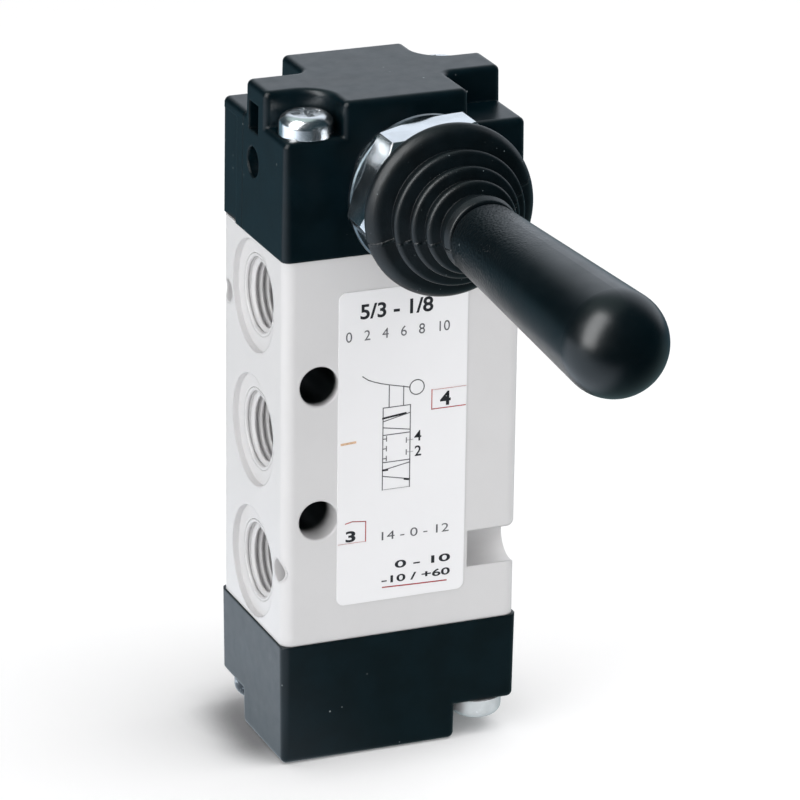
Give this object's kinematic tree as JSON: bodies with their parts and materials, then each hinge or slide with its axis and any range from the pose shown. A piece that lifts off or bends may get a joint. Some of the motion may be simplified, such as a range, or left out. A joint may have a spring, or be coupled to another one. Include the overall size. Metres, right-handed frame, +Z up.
{
  "type": "hand-lever spool valve",
  "caption": "Hand-lever pneumatic spool valve: pale metal body with threaded side ports, black end caps, a panel nut on the lever collar, a stepped rubber boot and a long tapered grip.",
  "frame": {"origin": "centre of the bottom cap's foot face, under the spool's axis", "axes": "+Z up along the spool, -Y along the lever, -X towards the side with the longer row of ports"},
  "size_m": [0.0324, 0.0902, 0.0883],
  "materials": {
    "body_paint": "satin pale grey coat on an extruded aluminium bar",
    "cap_plastic": "black glass-filled moulding with a fine grain",
    "screw_plate": "bright zinc plate",
    "nut_plate": "bright nickel plate",
    "collar_plate": "nickel-plated thread",
    "boot_rubber": "black moulded rubber with a soft sheen",
    "grip_plastic": "black, grained near the boot and smoother at the tip",
    "rod_steel": "ground steel",
    "spool_metal": "fine-turned",
    "seal_rubber": "black nitrile",
    "spacer_plastic": "natural acetal",
    "bush_brass": "turned",
    "label_film": "printed white film"
  },
  "bodies": {
    "housing": {"valve_body": "body_paint", "top_cap": "cap_plastic", "bottom_cap": "cap_plastic", "top_cap_screws": "screw_plate", "bottom_cap_screws": "screw_plate", "top_cap_seal": "seal_rubber", "bottom_cap_seal": "seal_rubber", "spool_seal_1": "seal_rubber", "spool_seal_2": "seal_rubber", "spool_seal_3": "seal_rubber", "spool_seal_4": "seal_rubber", "spool_seal_5": "seal_rubber", "spool_seal_6": "seal_rubber", "port_spacer_1": "spacer_plastic", "port_spacer_2": "spacer_plastic", "port_spacer_3": "spacer_plastic", "port_spacer_4": "spacer_plastic", "port_spacer_5": "spacer_plastic", "upper_bush": "bush_brass", "lower_bush": "bush_brass", "lever_collar": "collar_plate", "rear_ball_seat": "spacer_plastic", "front_ball_seat": "spacer_plastic", "retaining_ring": "rod_steel", "panel_nut": "nut_plate", "panel_washer": "nut_plate", "rubber_boot": "boot_rubber", "detent_ball": "rod_steel", "detent_spring": "rod_steel", "detent_plug": "rod_steel", "label": "label_film"},
    "spool": {"spool": "spool_metal"},
    "lever": {"lever_rod": "rod_steel", "handle_grip": "grip_plastic"}
  },
  "joints": [
    {"name": "lever_tilt", "type": "hinge", "parent": "housing", "child": "lever", "pos_m": [0, -0.0125, 0.0773], "axis": [1, 0, 0], "range_deg": [-12, 12], "deforming": ["rubber_boot"]},
    {"name": "spool_slide", "type": "slide", "parent": "housing", "child": "spool", "axis": [0, 0, 1], "range_m": [-0.00262, 0.00262]}
  ],
  "couplings": [
    {"joint": "lever_tilt", "follows": "spool_slide", "rad_per_m": 80}
  ]
}
